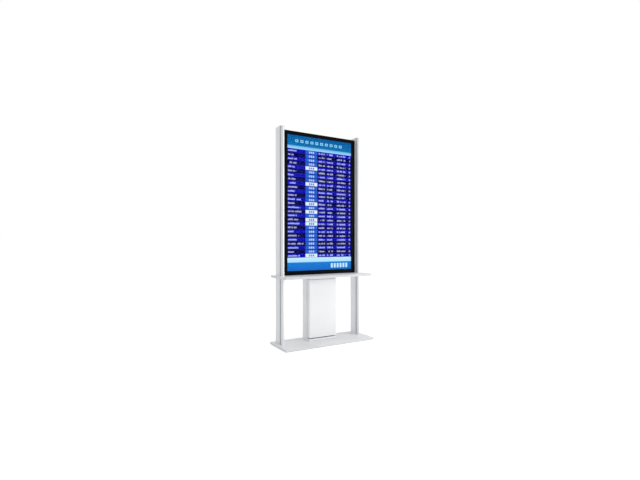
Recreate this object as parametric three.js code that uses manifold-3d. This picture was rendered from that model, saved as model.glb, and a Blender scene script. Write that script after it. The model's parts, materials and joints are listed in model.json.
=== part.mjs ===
// A free-standing portrait touchscreen kiosk: two aluminium posts on a steel base plate carry the
// display, a shelf and a slim equipment cabinet with a hinged door.
// Millimetres. +X is to the kiosk's right as a visitor faces it, +Y goes back, +Z up.
// The origin is on the floor, under the middle of the base plate.
import * as THREE from "three";
import { mergeVertices } from "three/addons/utils/BufferGeometryUtils.js";
import Module from "manifold-3d";

const wasm = await Module();
wasm.setup();

// ---- Driving dimensions ----

const GAP = 0.3; // play between pieces that would otherwise touch

// Base plate and its pads
const BASE_W = 904;
const BASE_D = 334;
const BASE_T = 18;
const PAD_H = 2;
const PAD_R = 22;
const PAD_INSET = 42;
const BASE_TOP = PAD_H + BASE_T;
const REAR = BASE_D / 2;

// Posts
const POST_X = 400;
const POST_HALF = 22; // half the width of the tube
const NOSE_R = 16; // radius of the nose cover's round front
const NOSE_MID = 15; // the middle of that round
const NOSE_BACK = 17; // where the nose cover ends
const SEAL_D = 8; // depth of the grey seal between the nose cover and the tube
const SEAL_HALF = 18;
const POST_REAR = 111;
const POST_WALL = 3;
const POST_TOP = 1913;
const CAP_T = 4;
const FOOT_H = 40;
const BOLT_R = 5;
const BOLT_Y = [48, 88];

// Shelf
const SHELF_W = 888;
const SHELF_FRONT = -139;
const SHELF_T = 20;
const SHELF_TOP = 614;
const SHELF_BOTTOM = SHELF_TOP - SHELF_T;
const SHELF_CLEAR = 1;

// Display
const PICTURE_W = 680.4; // 55 inch, 16:9, upright
const PICTURE_H = 1209.6;
const DISPLAY_W = 749;
const DISPLAY_Z = [617, 1894];
const PICTURE_Z = 652.7; // bottom of the picture
const DISPLAY_FRONT = 38;
const LIP_T = 6; // how far the touch frame stands in front of the glass
const TOUCH_FRAME_D = 22;
const REAR_COVER_BACK = 88;
const HANGER_X = 200;
const RAIL_Z = [1057, 1457];
const RAIL_H = 50;
const RAIL_Y = [92, 110];

// Cabinet and door
const CABINET_W = 282;
const CABINET_REAR = 136;
const PLINTH_TOP = 38;
const SHEET = 2;
const DOOR_FRONT = 1;
const DOOR_Z = [46, 570];
const HOOD_BOTTOM = 573; // the cabinet's hood closes the space between the door and the shelf
const DOOR_SHEET = 1.5;
const SEAM_Y = 47; // the plane where door and cabinet meet
const SEAM_HALF = 1.8;
const LIP = 12; // folded lips around the openings
const HINGE_R = 3;
const HINGE_Z = [92, 542];
const KNUCKLES = 9;
const LOCK_Y = 30;
const LOCK_Z = 318;
const STUD_REACH = 26; // from the lock's axis to the stud that the hook holds

// Equipment
const PLATE_Y = [118, 120];
const FAN_Z = 505;
const FAN_SIZE = 80;
const FAN_BORE = 38;
const INLET = { x: 38, z: 85, w: 36, h: 30 };
const SWITCH = { x: 68, z: 85, w: 23.4, h: 30 };
const GROMMET_Y = 112;

// ---- Shapes and solids ----

const finish = (color, roughness, metalness) => ({ color, roughness, metalness });
const FINISHES = {
  whiteSteel: finish(0xf1f2f3, 0.42, 0.1),
  whiteBoard: finish(0xf4f4f4, 0.38, 0.0),
  aluminium: finish(0xd8dbde, 0.34, 0.85),
  zinc: finish(0xaeb2b5, 0.4, 0.8),
  steel: finish(0x9a9da0, 0.3, 0.95),
  chrome: finish(0xd9dcdf, 0.12, 1.0),
  black: finish(0x101113, 0.32, 0.0),
  blackSteel: finish(0x1b1c1e, 0.5, 0.3),
  rubber: finish(0x222326, 0.85, 0.0),
  greyRubber: finish(0x8c8e90, 0.85, 0.0),
  glass: finish(0xc9d4dc, 0.05, 0.0),
  picture: finish(0x1a2a9a, 0.25, 0.0),
  backlight: finish(0xe8e8e6, 0.6, 0.0),
  board: finish(0x1f6b3a, 0.55, 0.0),
};

const kiosk = new THREE.Group();

// Adds a named piece of the given finish.
function piece(name, geometry, finishName) {
  const mesh = new THREE.Mesh(geometry, new THREE.MeshStandardMaterial(FINISHES[finishName]));
  mesh.name = name;
  kiosk.add(mesh);
  return mesh;
}

// A block between two limits on each axis.
function block([x0, x1], [y0, y1], [z0, z1]) {
  const geometry = new THREE.BoxGeometry(x1 - x0, y1 - y0, z1 - z0);
  return geometry.translate((x0 + x1) / 2, (y0 + y1) / 2, (z0 + z1) / 2);
}

// A block given by its middle and its half sizes along X and Z, between two limits in Y.
function upright(x, z, halfW, halfH, y) {
  return block([x - halfW, x + halfW], y, [z - halfH, z + halfH]);
}

// A flat outline drawn in X and Y, raised from z0 to z1.
function raise(shape, [z0, z1], curveSegments = 12) {
  const options = { depth: z1 - z0, bevelEnabled: false, curveSegments };
  return new THREE.ExtrudeGeometry(shape, options).translate(0, 0, z0);
}

// A round bar along Z, or along X or Y when turned.
function bar(radius, [from, to], segments = 24) {
  const geometry = new THREE.CylinderGeometry(radius, radius, to - from, segments);
  return geometry.rotateX(Math.PI / 2).translate(0, 0, (from + to) / 2);
}
const alongX = (geometry) => geometry.rotateY(Math.PI / 2);
const alongY = (geometry) => geometry.rotateX(-Math.PI / 2);

// A rectangle with rounded corners, for extruding.
function roundedRect([x0, x1], [y0, y1], r) {
  const shape = new THREE.Shape();
  shape.moveTo(x0 + r, y0);
  shape.lineTo(x1 - r, y0);
  shape.absarc(x1 - r, y0 + r, r, -Math.PI / 2, 0);
  shape.lineTo(x1, y1 - r);
  shape.absarc(x1 - r, y1 - r, r, 0, Math.PI / 2);
  shape.lineTo(x0 + r, y1);
  shape.absarc(x0 + r, y1 - r, r, Math.PI / 2, Math.PI);
  shape.lineTo(x0, y0 + r);
  shape.absarc(x0 + r, y0 + r, r, Math.PI, Math.PI * 1.5);
  return shape;
}

// A geometry as a solid that can be joined and cut.
function solid(geometry) {
  const source = geometry.clone();
  source.deleteAttribute("normal");
  source.deleteAttribute("uv");
  const merged = mergeVertices(source, 1e-4);
  const triVerts = new Uint32Array(merged.index.array);
  const vertProperties = merged.attributes.position.array;
  return new wasm.Manifold(new wasm.Mesh({ numProp: 3, vertProperties, triVerts }));
}

// The first shape joined with the others in plus, less those in minus.
function carve(geometry, { plus = [], minus = [] }) {
  let body = solid(geometry);
  for (const shape of plus) body = body.add(solid(shape));
  for (const shape of minus) body = body.subtract(solid(shape));
  const mesh = body.getMesh();
  const result = new THREE.BufferGeometry();
  result.setAttribute("position", new THREE.BufferAttribute(mesh.vertProperties, 3));
  result.setIndex(new THREE.BufferAttribute(mesh.triVerts, 1));
  const flat = result.toNonIndexed();
  flat.computeVertexNormals();
  return flat;
}

const SIDES = [
  ["left", -1],
  ["right", 1],
];

// ---- Base ----

function makeBase() {
  const halfW = BASE_W / 2;
  const boltHoles = [];
  for (const [, side] of SIDES) {
    for (const y of BOLT_Y) {
      boltHoles.push(bar(BOLT_R + GAP, [0, BASE_TOP + 1]).translate(side * POST_X, y, 0));
      boltHoles.push(boltHead(GAP).translate(side * POST_X, y, 0));
    }
  }
  const outline = roundedRect([-halfW, halfW], [-REAR, REAR], 3);
  piece("base_plate", carve(raise(outline, [PAD_H, BASE_TOP], 4), { minus: boltHoles }), "whiteSteel");

  const padX = halfW - PAD_INSET;
  const padY = REAR - PAD_INSET;
  for (const [sideName, side] of SIDES) {
    for (const [endName, end] of [["front", -1], ["rear", 1]]) {
      const pad = bar(PAD_R, [0, PAD_H], 32).translate(side * padX, end * padY, 0);
      piece(`pad_${endName}_${sideName}`, pad, "rubber");
    }
  }
}

// The countersunk head of a post bolt, flush with the underside of the base plate.
function boltHead(grow) {
  const head = new THREE.CylinderGeometry(BOLT_R + grow, BOLT_R * 2 + grow, 5 + grow, 24);
  return head.rotateX(Math.PI / 2).translate(0, 0, PAD_H + (5 - grow) / 2 + grow);
}

// ---- Posts ----

// The outline of a whole post seen from above, its nose to the front.
function postOutline(grow) {
  const half = POST_HALF + grow;
  const r = NOSE_R + grow;
  const step = NOSE_BACK - grow;
  const shape = new THREE.Shape();
  shape.moveTo(half, POST_REAR + grow);
  shape.lineTo(-half, POST_REAR + grow);
  shape.lineTo(-half, step);
  shape.lineTo(-r, step);
  shape.lineTo(-r, NOSE_MID);
  shape.absarc(0, NOSE_MID, r, Math.PI, Math.PI * 2);
  shape.lineTo(r, step);
  shape.lineTo(half, step);
  return shape;
}

// The hollow D section of the snap-on nose cover.
function noseSection() {
  const inner = NOSE_R - POST_WALL;
  const shape = new THREE.Shape();
  shape.moveTo(-NOSE_R, NOSE_BACK);
  shape.lineTo(-NOSE_R, NOSE_MID);
  shape.absarc(0, NOSE_MID, NOSE_R, Math.PI, Math.PI * 2);
  shape.lineTo(NOSE_R, NOSE_BACK);
  const hollow = new THREE.Path();
  hollow.absarc(0, NOSE_MID, inner, Math.PI, Math.PI * 2);
  hollow.lineTo(inner, NOSE_BACK - POST_WALL);
  hollow.lineTo(-inner, NOSE_BACK - POST_WALL);
  shape.holes.push(hollow);
  return shape;
}

function makePosts() {
  const tubeFront = NOSE_BACK + SEAL_D;
  const inner = POST_HALF - POST_WALL;
  const tube = roundedRect([-POST_HALF, POST_HALF], [tubeFront, POST_REAR], 1.5);
  tube.holes.push(roundedRect([-inner, inner], [tubeFront + POST_WALL, POST_REAR - POST_WALL], 1));
  const length = [BASE_TOP, POST_TOP];

  for (const [sideName, side] of SIDES) {
    const x = side * POST_X;
    piece(`post_${sideName}`, raise(tube, length, 3).translate(x, 0, 0), "aluminium");
    piece(`nose_cover_${sideName}`, raise(noseSection(), length, 16).translate(x, 0, 0), "aluminium");
    const seal = block([-SEAL_HALF, SEAL_HALF], [NOSE_BACK + GAP, tubeFront - GAP], length);
    piece(`post_seal_${sideName}`, seal.translate(x, 0, 0), "greyRubber");

    piece(`post_cap_${sideName}`, makeCap(inner, tubeFront).translate(x, 0, 0), "aluminium");
    makeFoot(sideName, x, inner, tubeFront);
  }
}

// The flat cap over tube and nose cover, with the plug under it that grips the tube.
function makeCap(inner, tubeFront) {
  const bevel = { bevelThickness: 1, bevelSize: 1, bevelOffset: -1, bevelSegments: 1 };
  const options = { depth: CAP_T - 2, ...bevel, curveSegments: 16 };
  const plate = new THREE.ExtrudeGeometry(postOutline(0), options).translate(0, 0, POST_TOP + 1);
  const lowerHalf = raise(postOutline(0), [POST_TOP, POST_TOP + CAP_T / 2], 16);
  const plug = block(
    [-inner + 1, inner - 1],
    [tubeFront + 5, POST_REAR - 5],
    [POST_TOP - 12, POST_TOP + 1],
  );
  return carve(plate, { plus: [lowerHalf, plug] });
}

// The block inside a post's foot, with the two bolts that come up through the base plate.
function makeFoot(sideName, x, inner, tubeFront) {
  const boltEnd = BASE_TOP + 24;
  const foot = block(
    [-inner + GAP, inner - GAP],
    [tubeFront + POST_WALL + GAP, POST_REAR - POST_WALL - GAP],
    [BASE_TOP, BASE_TOP + FOOT_H],
  );
  const holes = BOLT_Y.map((y) => bar(BOLT_R + GAP, [BASE_TOP - 1, boltEnd + 1]).translate(0, y, 0));
  piece(`post_foot_${sideName}`, carve(foot, { minus: holes }).translate(x, 0, 0), "zinc");
  BOLT_Y.forEach((y, i) => {
    const shank = bar(BOLT_R, [PAD_H + 1, boltEnd]);
    const key = new THREE.CylinderGeometry(3, 3, 6, 6).rotateX(Math.PI / 2).translate(0, 0, PAD_H);
    const bolt = carve(boltHead(0), { plus: [shank], minus: [key] });
    piece(`post_bolt_${sideName}_${i + 1}`, bolt.translate(x, y, 0), "steel");
  });
}

// ---- Shelf ----

function makeShelf() {
  const halfW = SHELF_W / 2;
  const cuts = SIDES.map(([, side]) =>
    raise(postOutline(SHELF_CLEAR), [SHELF_BOTTOM - 1, SHELF_TOP + 1], 16).translate(side * POST_X, 0, 0),
  );
  cuts.push(bar(15, [SHELF_BOTTOM - 1, SHELF_TOP + 1], 32).translate(0, GROMMET_Y, 0));
  const outline = roundedRect([-halfW, halfW], [SHELF_FRONT, REAR], 2.5);
  piece("shelf", carve(raise(outline, [SHELF_BOTTOM, SHELF_TOP], 4), { minus: cuts }), "whiteBoard");

  for (const [sideName, side] of SIDES) {
    const back = POST_REAR + GAP;
    const under = SHELF_BOTTOM - GAP;
    const leg = block([-18, 18], [back, back + 3], [under - 48, under]);
    const arm = block([-18, 18], [back, REAR - 12], [under - 3, under]);
    const bracket = carve(leg, { plus: [arm] });
    piece(`shelf_bracket_${sideName}`, bracket.translate(side * POST_X, 0, 0), "zinc");
  }

  const profile = [
    [11, -3],
    [14.7, -3],
    [14.7, SHELF_T],
    [19, SHELF_T],
    [18, SHELF_T + 2],
    [11, SHELF_T + 2],
    [11, -3],
  ].map(([r, z]) => new THREE.Vector2(r, z));
  const grommet = new THREE.LatheGeometry(profile, 32).rotateX(Math.PI / 2);
  piece("cable_grommet", grommet.translate(0, GROMMET_Y, SHELF_BOTTOM), "rubber");
}

// ---- Display ----

function makeDisplay() {
  const half = DISPLAY_W / 2;
  const [bottom, top] = DISPLAY_Z;
  const pictureMid = PICTURE_Z + PICTURE_H / 2;
  const lipBack = DISPLAY_FRONT + LIP_T;
  const frameBack = DISPLAY_FRONT + TOUCH_FRAME_D;

  // A slab behind the picture, reaching past it by the given margin all round.
  const sheet = (margin, y) => upright(0, pictureMid, PICTURE_W / 2 + margin, PICTURE_H / 2 + margin, y);

  const casing = block([-half, half], [DISPLAY_FRONT, frameBack], [bottom, top]);
  const frameCuts = [sheet(1, [DISPLAY_FRONT - 1, frameBack + 1]), sheet(12, [lipBack, frameBack + 1])];
  piece("touch_frame", carve(casing, { minus: frameCuts }), "black");
  piece("touch_glass", sheet(11, [lipBack + GAP, lipBack + 4 + GAP]), "glass");
  piece("lcd_panel", sheet(11, [lipBack + 5, lipBack + 7.5]), "picture");
  piece("backlight", sheet(11, [lipBack + 8, frameBack - GAP]), "backlight");

  // The chassis plate with two upright channels that carry the hangers.
  const plateBack = frameBack + 2 + GAP;
  const plate = block([-half + 4, half - 4], [frameBack + GAP, plateBack], [bottom + 4, top - 4]);
  const channels = [-1, 1].map((side) =>
    upright(side * HANGER_X, pictureMid, 16, 330, [plateBack - 1, REAR_COVER_BACK - 1.8]),
  );
  piece("display_chassis", carve(plate, { plus: channels }), "zinc");
  makeRearCover(plateBack, pictureMid);
  makeBoards(plateBack);
  makeHangers(pictureMid);
}

// The vented steel cover over the boards, a pan open to the front.
function makeRearCover(front, pictureMid) {
  const half = DISPLAY_W / 2 - 2;
  const [bottom, top] = [DISPLAY_Z[0] + 2, DISPLAY_Z[1] - 2];
  const wall = 1.5;
  const outside = block([-half, half], [front + GAP, REAR_COVER_BACK], [bottom, top]);
  const inside = block(
    [-half + wall, half - wall],
    [front, REAR_COVER_BACK - wall],
    [bottom + wall, top - wall],
  );
  const slots = [];
  const through = [REAR_COVER_BACK - 5, REAR_COVER_BACK + 5];
  for (const z of [pictureMid - 470, pictureMid + 470]) {
    for (let i = 0; i < 16; i += 1) slots.push(upright((i - 7.5) * 32, z, 3, 40, through));
  }
  piece("display_rear_cover", carve(outside, { minus: [inside, ...slots] }), "blackSteel");
}

// A circuit board on four stand-offs, with blocks for what it carries.
function circuitBoard(name, [x0, x1], [z0, z1], front, parts) {
  const lift = 6;
  const face = front + GAP + lift;
  const card = block([x0, x1], [face, face + 1.6], [z0, z1]);
  const plus = [];
  for (const x of [x0 + 8, x1 - 8]) {
    for (const z of [z0 + 8, z1 - 8]) plus.push(upright(x, z, 3, 3, [front + GAP, face + 0.5]));
  }
  for (const [x, z, halfW, halfH, height] of parts) {
    plus.push(upright(x, z, halfW, halfH, [face + 1, face + 1.6 + height]));
  }
  piece(name, carve(card, { plus }), "board");
}

function makeBoards(front) {
  circuitBoard("main_board", [-20, 170], [1190, 1340], front, [
    [75, 1280, 28, 28, 9],
    [20, 1225, 12, 18, 5],
    [140, 1240, 16, 30, 8],
    [60, 1198, 50, 7, 10],
  ]);
  circuitBoard("power_board", [-175, -45], [1170, 1350], front, [
    [-140, 1310, 20, 24, 13],
    [-85, 1315, 14, 14, 12],
    [-130, 1230, 26, 20, 13],
    [-75, 1240, 12, 30, 9],
  ]);
  circuitBoard("touch_controller", [240, 330], [1230, 1280], front, [
    [285, 1255, 10, 10, 2],
    [318, 1255, 6, 16, 5],
  ]);
  for (const [sideName, side] of SIDES) {
    const shell = upright(side * 285, 672, 55, 22, [front + GAP, REAR_COVER_BACK - 3]);
    const mouth = bar(15, [640, 655]).translate(side * 285, (front + REAR_COVER_BACK) / 2, 0);
    piece(`speaker_${sideName}`, carve(shell, { minus: [mouth] }), "black");
  }
}

// Two rails between the posts, and the two hooked hangers that put the display on them.
function makeHangers(pictureMid) {
  const reach = POST_X - POST_HALF - GAP;
  const half = RAIL_H / 2;
  RAIL_Z.forEach((z, i) => {
    const rail = block([-reach, reach], RAIL_Y, [z - half, z + half]);
    const hollowZ = [z - half + 2, z + half - 2];
    const hollow = block([-reach - 1, reach + 1], [RAIL_Y[0] + 2, RAIL_Y[1] - 2], hollowZ);
    piece(i ? "cross_rail_upper" : "cross_rail_lower", carve(rail, { minus: [hollow] }), "zinc");
  });
  for (const [sideName, side] of SIDES) {
    const x = side * HANGER_X;
    const strip = upright(x, pictureMid, 18, 300, [REAR_COVER_BACK + GAP, RAIL_Y[0] - GAP]);
    const hooks = RAIL_Z.flatMap((z) => [
      upright(x, z + half + GAP + 1.5, 18, 1.5, [REAR_COVER_BACK + GAP, RAIL_Y[1] + 3 + GAP]),
      upright(x, z + half - 7, 18, 10 + GAP, [RAIL_Y[1] + GAP, RAIL_Y[1] + 3 + GAP]),
    ]);
    piece(`display_hanger_${sideName}`, carve(strip, { plus: hooks }), "blackSteel");
  }
}

// ---- Cabinet ----

const CABINET_FRONT = SEAM_Y + SEAM_HALF;
const CABINET_TOP = SHELF_BOTTOM - GAP;
const HALF_CABINET = CABINET_W / 2;

function makeCabinet() {
  const outer = [-HALF_CABINET, HALF_CABINET];
  const inner = [-HALF_CABINET + SHEET, HALF_CABINET - SHEET];
  const within = [-HALF_CABINET + LIP, HALF_CABINET - LIP];
  const body = block(outer, [CABINET_FRONT, CABINET_REAR], [PLINTH_TOP, CABINET_TOP]);
  const room = block(
    inner,
    [CABINET_FRONT + SHEET, CABINET_REAR - SHEET],
    [PLINTH_TOP + SHEET, CABINET_TOP - SHEET],
  );
  const wallBack = CABINET_FRONT + SHEET;
  const hood = block(outer, [DOOR_FRONT, wallBack], [HOOD_BOTTOM, CABINET_TOP]);
  const hoodRoom = block(
    inner,
    [DOOR_FRONT + SHEET, wallBack + 1],
    [HOOD_BOTTOM + SHEET, CABINET_TOP - SHEET],
  );
  const doorway = block(within, [CABINET_FRONT - 1, wallBack + 1], [PLINTH_TOP + LIP, DOOR_Z[1] - LIP]);
  const access = block([-105, 105], [CABINET_REAR - SHEET - 1, CABINET_REAR + 1], [62, 565]);
  const leadHole = bar(15, [CABINET_TOP - 5, CABINET_TOP + 5], 32).translate(0, GROMMET_Y, 0);
  const cuts = [room, hoodRoom, doorway, access, leadHole];
  piece("cabinet_body", carve(body, { plus: [hood], minus: cuts }), "whiteSteel");

  const plinth = block([-139, 139], [DOOR_FRONT + 4, CABINET_REAR - 2], [BASE_TOP, PLINTH_TOP]);
  const plinthRoom = block([-136, 136], [DOOR_FRONT + 7, CABINET_REAR - 5], [BASE_TOP - 1, PLINTH_TOP + 1]);
  piece("cabinet_plinth", carve(plinth, { minus: [plinthRoom] }), "whiteSteel");
  makeRearPanel();
}

function makeRearPanel() {
  const face = [CABINET_REAR + GAP, CABINET_REAR + GAP + 1.5];
  const through = [CABINET_REAR, CABINET_REAR + 3];
  const cuts = [
    alongY(bar(FAN_BORE, through, 40)).translate(0, 0, FAN_Z),
    upright(INLET.x, INLET.z, INLET.w / 2 - 2.5, INLET.h / 2 - 1.5, through),
    upright(SWITCH.x, SWITCH.z, SWITCH.w / 2 - 2.2, SWITCH.h / 2 - 1.5, through),
  ];
  for (const x of [-50, 50]) {
    for (let i = 0; i < 8; i += 1) cuts.push(upright(x, 180 + i * 14, 38, 2, through));
  }
  piece("cabinet_rear_panel", carve(upright(0, 313.5, 118, 264, face), { minus: cuts }), "whiteSteel");
}

// ---- Door, its hinge and its lock ----

function makeDoor() {
  const back = SEAM_Y - SEAM_HALF;
  const [bottom, top] = DOOR_Z;
  const t = DOOR_SHEET;
  const skinBack = DOOR_FRONT + t;
  const across = [-HALF_CABINET, HALF_CABINET];
  piece("door_skin", block(across, [DOOR_FRONT, skinBack], DOOR_Z), "whiteSteel");

  const rim = block(across, [skinBack, back], DOOR_Z);
  const within = [-HALF_CABINET + t, HALF_CABINET - t];
  const room = block(within, [skinBack - 1, back - t], [bottom + t, top - t]);
  const mouth = block([-HALF_CABINET + LIP, HALF_CABINET - LIP], [back - t - 1, back + 1], [
    bottom + LIP,
    top - LIP,
  ]);
  const lockHole = alongX(bar(8 + GAP, [HALF_CABINET - 5, HALF_CABINET + 5])).translate(0, LOCK_Y, LOCK_Z);
  piece("door_rim", carve(rim, { minus: [room, mouth, lockHole] }), "whiteSteel");
}

// A continuous hinge down the left seam: two leaves with alternate knuckles round one pin.
function makeHinge() {
  const axisX = -HALF_CABINET - HINGE_R - 0.2;
  const [bottom, top] = HINGE_Z;
  const pitch = (top - bottom) / KNUCKLES;
  const leafX = [axisX, -HALF_CABINET + 14];
  const play = 0.25;
  const pinHole = bar(1.6, [bottom - 1, top + 1], 16).translate(axisX, SEAM_Y, 0);

  function leaf(name, y, isOwn) {
    const plus = [];
    const minus = [];
    for (let i = 0; i < KNUCKLES; i += 1) {
      const z = [bottom + i * pitch, bottom + (i + 1) * pitch];
      if (isOwn(i)) {
        plus.push(bar(HINGE_R, [z[0] + play, z[1] - play], 16).translate(axisX, SEAM_Y, 0));
      } else {
        const clear = HINGE_R + GAP;
        minus.push(block([axisX - clear, axisX + clear], [SEAM_Y - clear, SEAM_Y + clear], z));
      }
    }
    const strip = block(leafX, y, [bottom + play, top - play]);
    const leafBody = carve(carve(strip, { minus }), { plus });
    piece(name, carve(leafBody, { minus: [pinHole] }), "whiteSteel");
  }

  leaf("hinge_leaf_cabinet", [SEAM_Y + 0.3, SEAM_Y + 1.5], (i) => i % 2 === 0);
  leaf("hinge_leaf_door", [SEAM_Y - 1.5, SEAM_Y - 0.3], (i) => i % 2 === 1);
  const heads = [bottom - 1.5, top + GAP].map((z) => bar(2.5, [z, z + 1.2], 16));
  const pin = carve(bar(1.5, [bottom - 1, top + 1], 16), { plus: heads });
  piece("hinge_pin", pin.translate(axisX, SEAM_Y, 0), "steel");
}

// The lock in the door's right return. The hook is drawn turned up, clear of its stud.
function makeLock() {
  const place = (geometry) => geometry.translate(0, LOCK_Y, LOCK_Z);
  const face = HALF_CABINET + GAP;
  const barrel = [
    [5.2, face - 18],
    [8, face - 18],
    [8, face],
    [11, face],
    [10.4, face + 2],
    [5.2, face + 2],
    [5.2, face - 18],
  ].map(([r, z]) => new THREE.Vector2(r, z));
  const barrelGeometry = new THREE.LatheGeometry(barrel, 28).rotateX(Math.PI / 2);
  piece("lock_body", place(alongX(barrelGeometry)), "chrome");

  const plugEnd = face - 24;
  const stem = alongX(bar(3, [plugEnd, face]));
  const keyway = block([face + 0.4, face + 3], [-0.8, 0.8], [-3, 3]);
  const plug = carve(alongX(bar(5, [face - 19, face + 1.6])), { plus: [stem], minus: [keyway] });
  piece("lock_plug", place(plug), "chrome");

  // The hook lies in the YZ plane. Its arm leans past upright and its claw curves back over.
  const arm = THREE.MathUtils.degToRad(120);
  const tip = THREE.MathUtils.degToRad(82);
  const back = THREE.MathUtils.degToRad(126);
  const clawInner = STUD_REACH + 4;
  const clawOuter = clawInner + 6;
  const claw = new THREE.Shape();
  claw.absarc(0, 0, clawOuter, tip, back);
  claw.absarc(0, 0, clawInner, back, tip, true);
  const hookX = [plugEnd + 0.6, plugEnd + 3.4];
  const armBar = block([4, clawInner + 1], [-3.5, 3.5], hookX).rotateZ(arm);
  const hub = bar(9, hookX);
  const bore = bar(3 + GAP, [hookX[0] - 1, hookX[1] + 1]);
  const hook = carve(raise(claw, hookX, 12), { plus: [armBar, hub], minus: [bore] });
  // What was drawn as X, Y and Z becomes Y, Z and X.
  const turned = hook.applyMatrix4(new THREE.Matrix4().set(0, 0, 1, 0, 1, 0, 0, 0, 0, 1, 0, 0, 0, 0, 0, 1));
  piece("lock_hook", place(turned), "steel");

  const wall = HALF_CABINET - SHEET - GAP;
  const stud = carve(alongX(bar(3, [wall - 24, wall])), { plus: [alongX(bar(4.5, [wall - 2, wall]))] });
  piece("lock_stud", stud.translate(0, LOCK_Y + STUD_REACH, LOCK_Z), "steel");
}

// ---- Equipment in the cabinet ----

function makeEquipment() {
  const plate = block([-118, 118], PLATE_Y, [112, 440]);
  const standOffs = [];
  for (const x of [-112, 112]) {
    for (const z of [122, 430]) {
      standOffs.push(upright(x, z, 4, 4, [PLATE_Y[1] - 1, CABINET_REAR - SHEET - GAP]));
    }
  }
  piece("equipment_plate", carve(plate, { plus: standOffs }), "zinc");

  const front = PLATE_Y[0] - GAP;
  const buttonX = 62;
  const buttonY = front - 18;
  const playerTop = 420;
  const computer = raise(roundedRect([-90, 90], [front - 36, front], 3), [240, playerTop], 3);
  const well = bar(5.3, [playerTop - 6, playerTop + 1], 28).translate(buttonX, buttonY, 0);
  piece("media_player", carve(computer, { minus: [well] }), "black");
  const button = bar(5, [playerTop - 4, playerTop + 1.5], 28).translate(buttonX, buttonY, 0);
  piece("power_button", button, "steel");

  const supply = raise(roundedRect([-95, 35], [front - 34, front], 6), [130, 188], 3);
  piece("power_supply", supply, "black");
  makeInlet();
  makeFan();
}

// The mains inlet in the rear panel, for a loose lead, and the rocker switch beside it. Each snaps
// into its own cut-out: a flange outside the panel, a body through it, and a pocket in the back.
function makeInlet() {
  const panelBack = CABINET_REAR + GAP + 1.5;
  const flangeBack = panelBack + GAP + 3;
  const module = (name, { x, z, w, h }, wall, pocket, depth) => {
    const flange = upright(x, z, w / 2, h / 2, [panelBack + GAP, flangeBack]);
    const body = upright(x, z, w / 2 - wall, h / 2 - 2, [panelBack - 20, panelBack + 1]);
    const hollow = upright(x, z, ...pocket, [flangeBack - depth, flangeBack + 1]);
    piece(name, carve(flange, { plus: [body], minus: [hollow] }), "black");
  };
  module("mains_inlet", INLET, 3, [12, 8], 16);
  module("switch_housing", SWITCH, 2.7, [7, 10.4], 10);

  // The rocker's outline, outwards against height, tilted to its off position.
  const rocker = new THREE.Shape();
  rocker.moveTo(-8, -5);
  rocker.lineTo(8, -5);
  rocker.lineTo(9, 2.4);
  rocker.lineTo(0, 0.6);
  rocker.lineTo(-9, 2.4);
  const tilt = THREE.MathUtils.degToRad(8);
  const rockerGeometry = raise(rocker, [-6.5, 6.5]).rotateZ(tilt);
  // What was drawn as X, Y and Z becomes Z, Y and X.
  rockerGeometry.applyMatrix4(new THREE.Matrix4().set(0, 0, -1, 0, 0, 1, 0, 0, 1, 0, 0, 0, 0, 0, 0, 1));
  piece("inlet_switch", rockerGeometry.translate(SWITCH.x, flangeBack - 2, SWITCH.z), "black");
}

function makeFan() {
  const half = FAN_SIZE / 2;
  const place = (geometry) => geometry.translate(0, 0, FAN_Z);
  const y = [CABINET_REAR - 25, CABINET_REAR];
  const bore = alongY(bar(FAN_BORE, [y[0] - 1, y[1] + 1], 40));
  const arms = [0, 1, 2].map((i) =>
    block([-2.5, 2.5], [y[1] - 3, y[1]], [10, FAN_BORE + 1]).rotateY((i * Math.PI * 2) / 3),
  );
  const motor = alongY(bar(16, [y[1] - 3, y[1]], 32));
  const ring = carve(upright(0, 0, half, half, y), { minus: [bore] });
  piece("fan_frame", place(carve(ring, { plus: [motor, ...arms] })), "black");

  const hub = alongY(bar(15.5, [y[0] + 2, y[1] - 4], 32));
  const blades = [...Array(7).keys()].map((i) => {
    const blade = block([-9, 9], [-0.8, 0.8], [13, FAN_BORE - 2]);
    const pitched = blade.rotateZ(THREE.MathUtils.degToRad(38)).translate(0, (y[0] + y[1]) / 2 - 1, 0);
    return pitched.rotateY((i * Math.PI * 2) / 7);
  });
  piece("fan_rotor", place(carve(hub, { plus: blades })), "black");

  const panelBack = CABINET_REAR + GAP + 1.5;
  const wire = [panelBack + GAP, panelBack + GAP + 2];
  const ringWire = (radius) => {
    const outer = alongY(bar(radius, wire, 40));
    return carve(outer, { minus: [alongY(bar(radius - 2.2, [wire[0] - 1, wire[1] + 1], 40))] });
  };
  const spokes = [45, 135].map((angle) =>
    upright(0, 0, 51, 1.4, wire).rotateY(THREE.MathUtils.degToRad(angle)),
  );
  const inside = [ringWire(28), ringWire(18), alongY(bar(7, wire)), ...spokes];
  piece("fan_guard", place(carve(ringWire(FAN_BORE), { plus: inside })), "steel");
}

makeBase();
makePosts();
makeShelf();
makeDisplay();
makeCabinet();
makeDoor();
makeHinge();
makeLock();
makeEquipment();

export default kiosk;
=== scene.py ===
import json
import math

import bmesh
import bpy
from mathutils import Matrix, Vector


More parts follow.
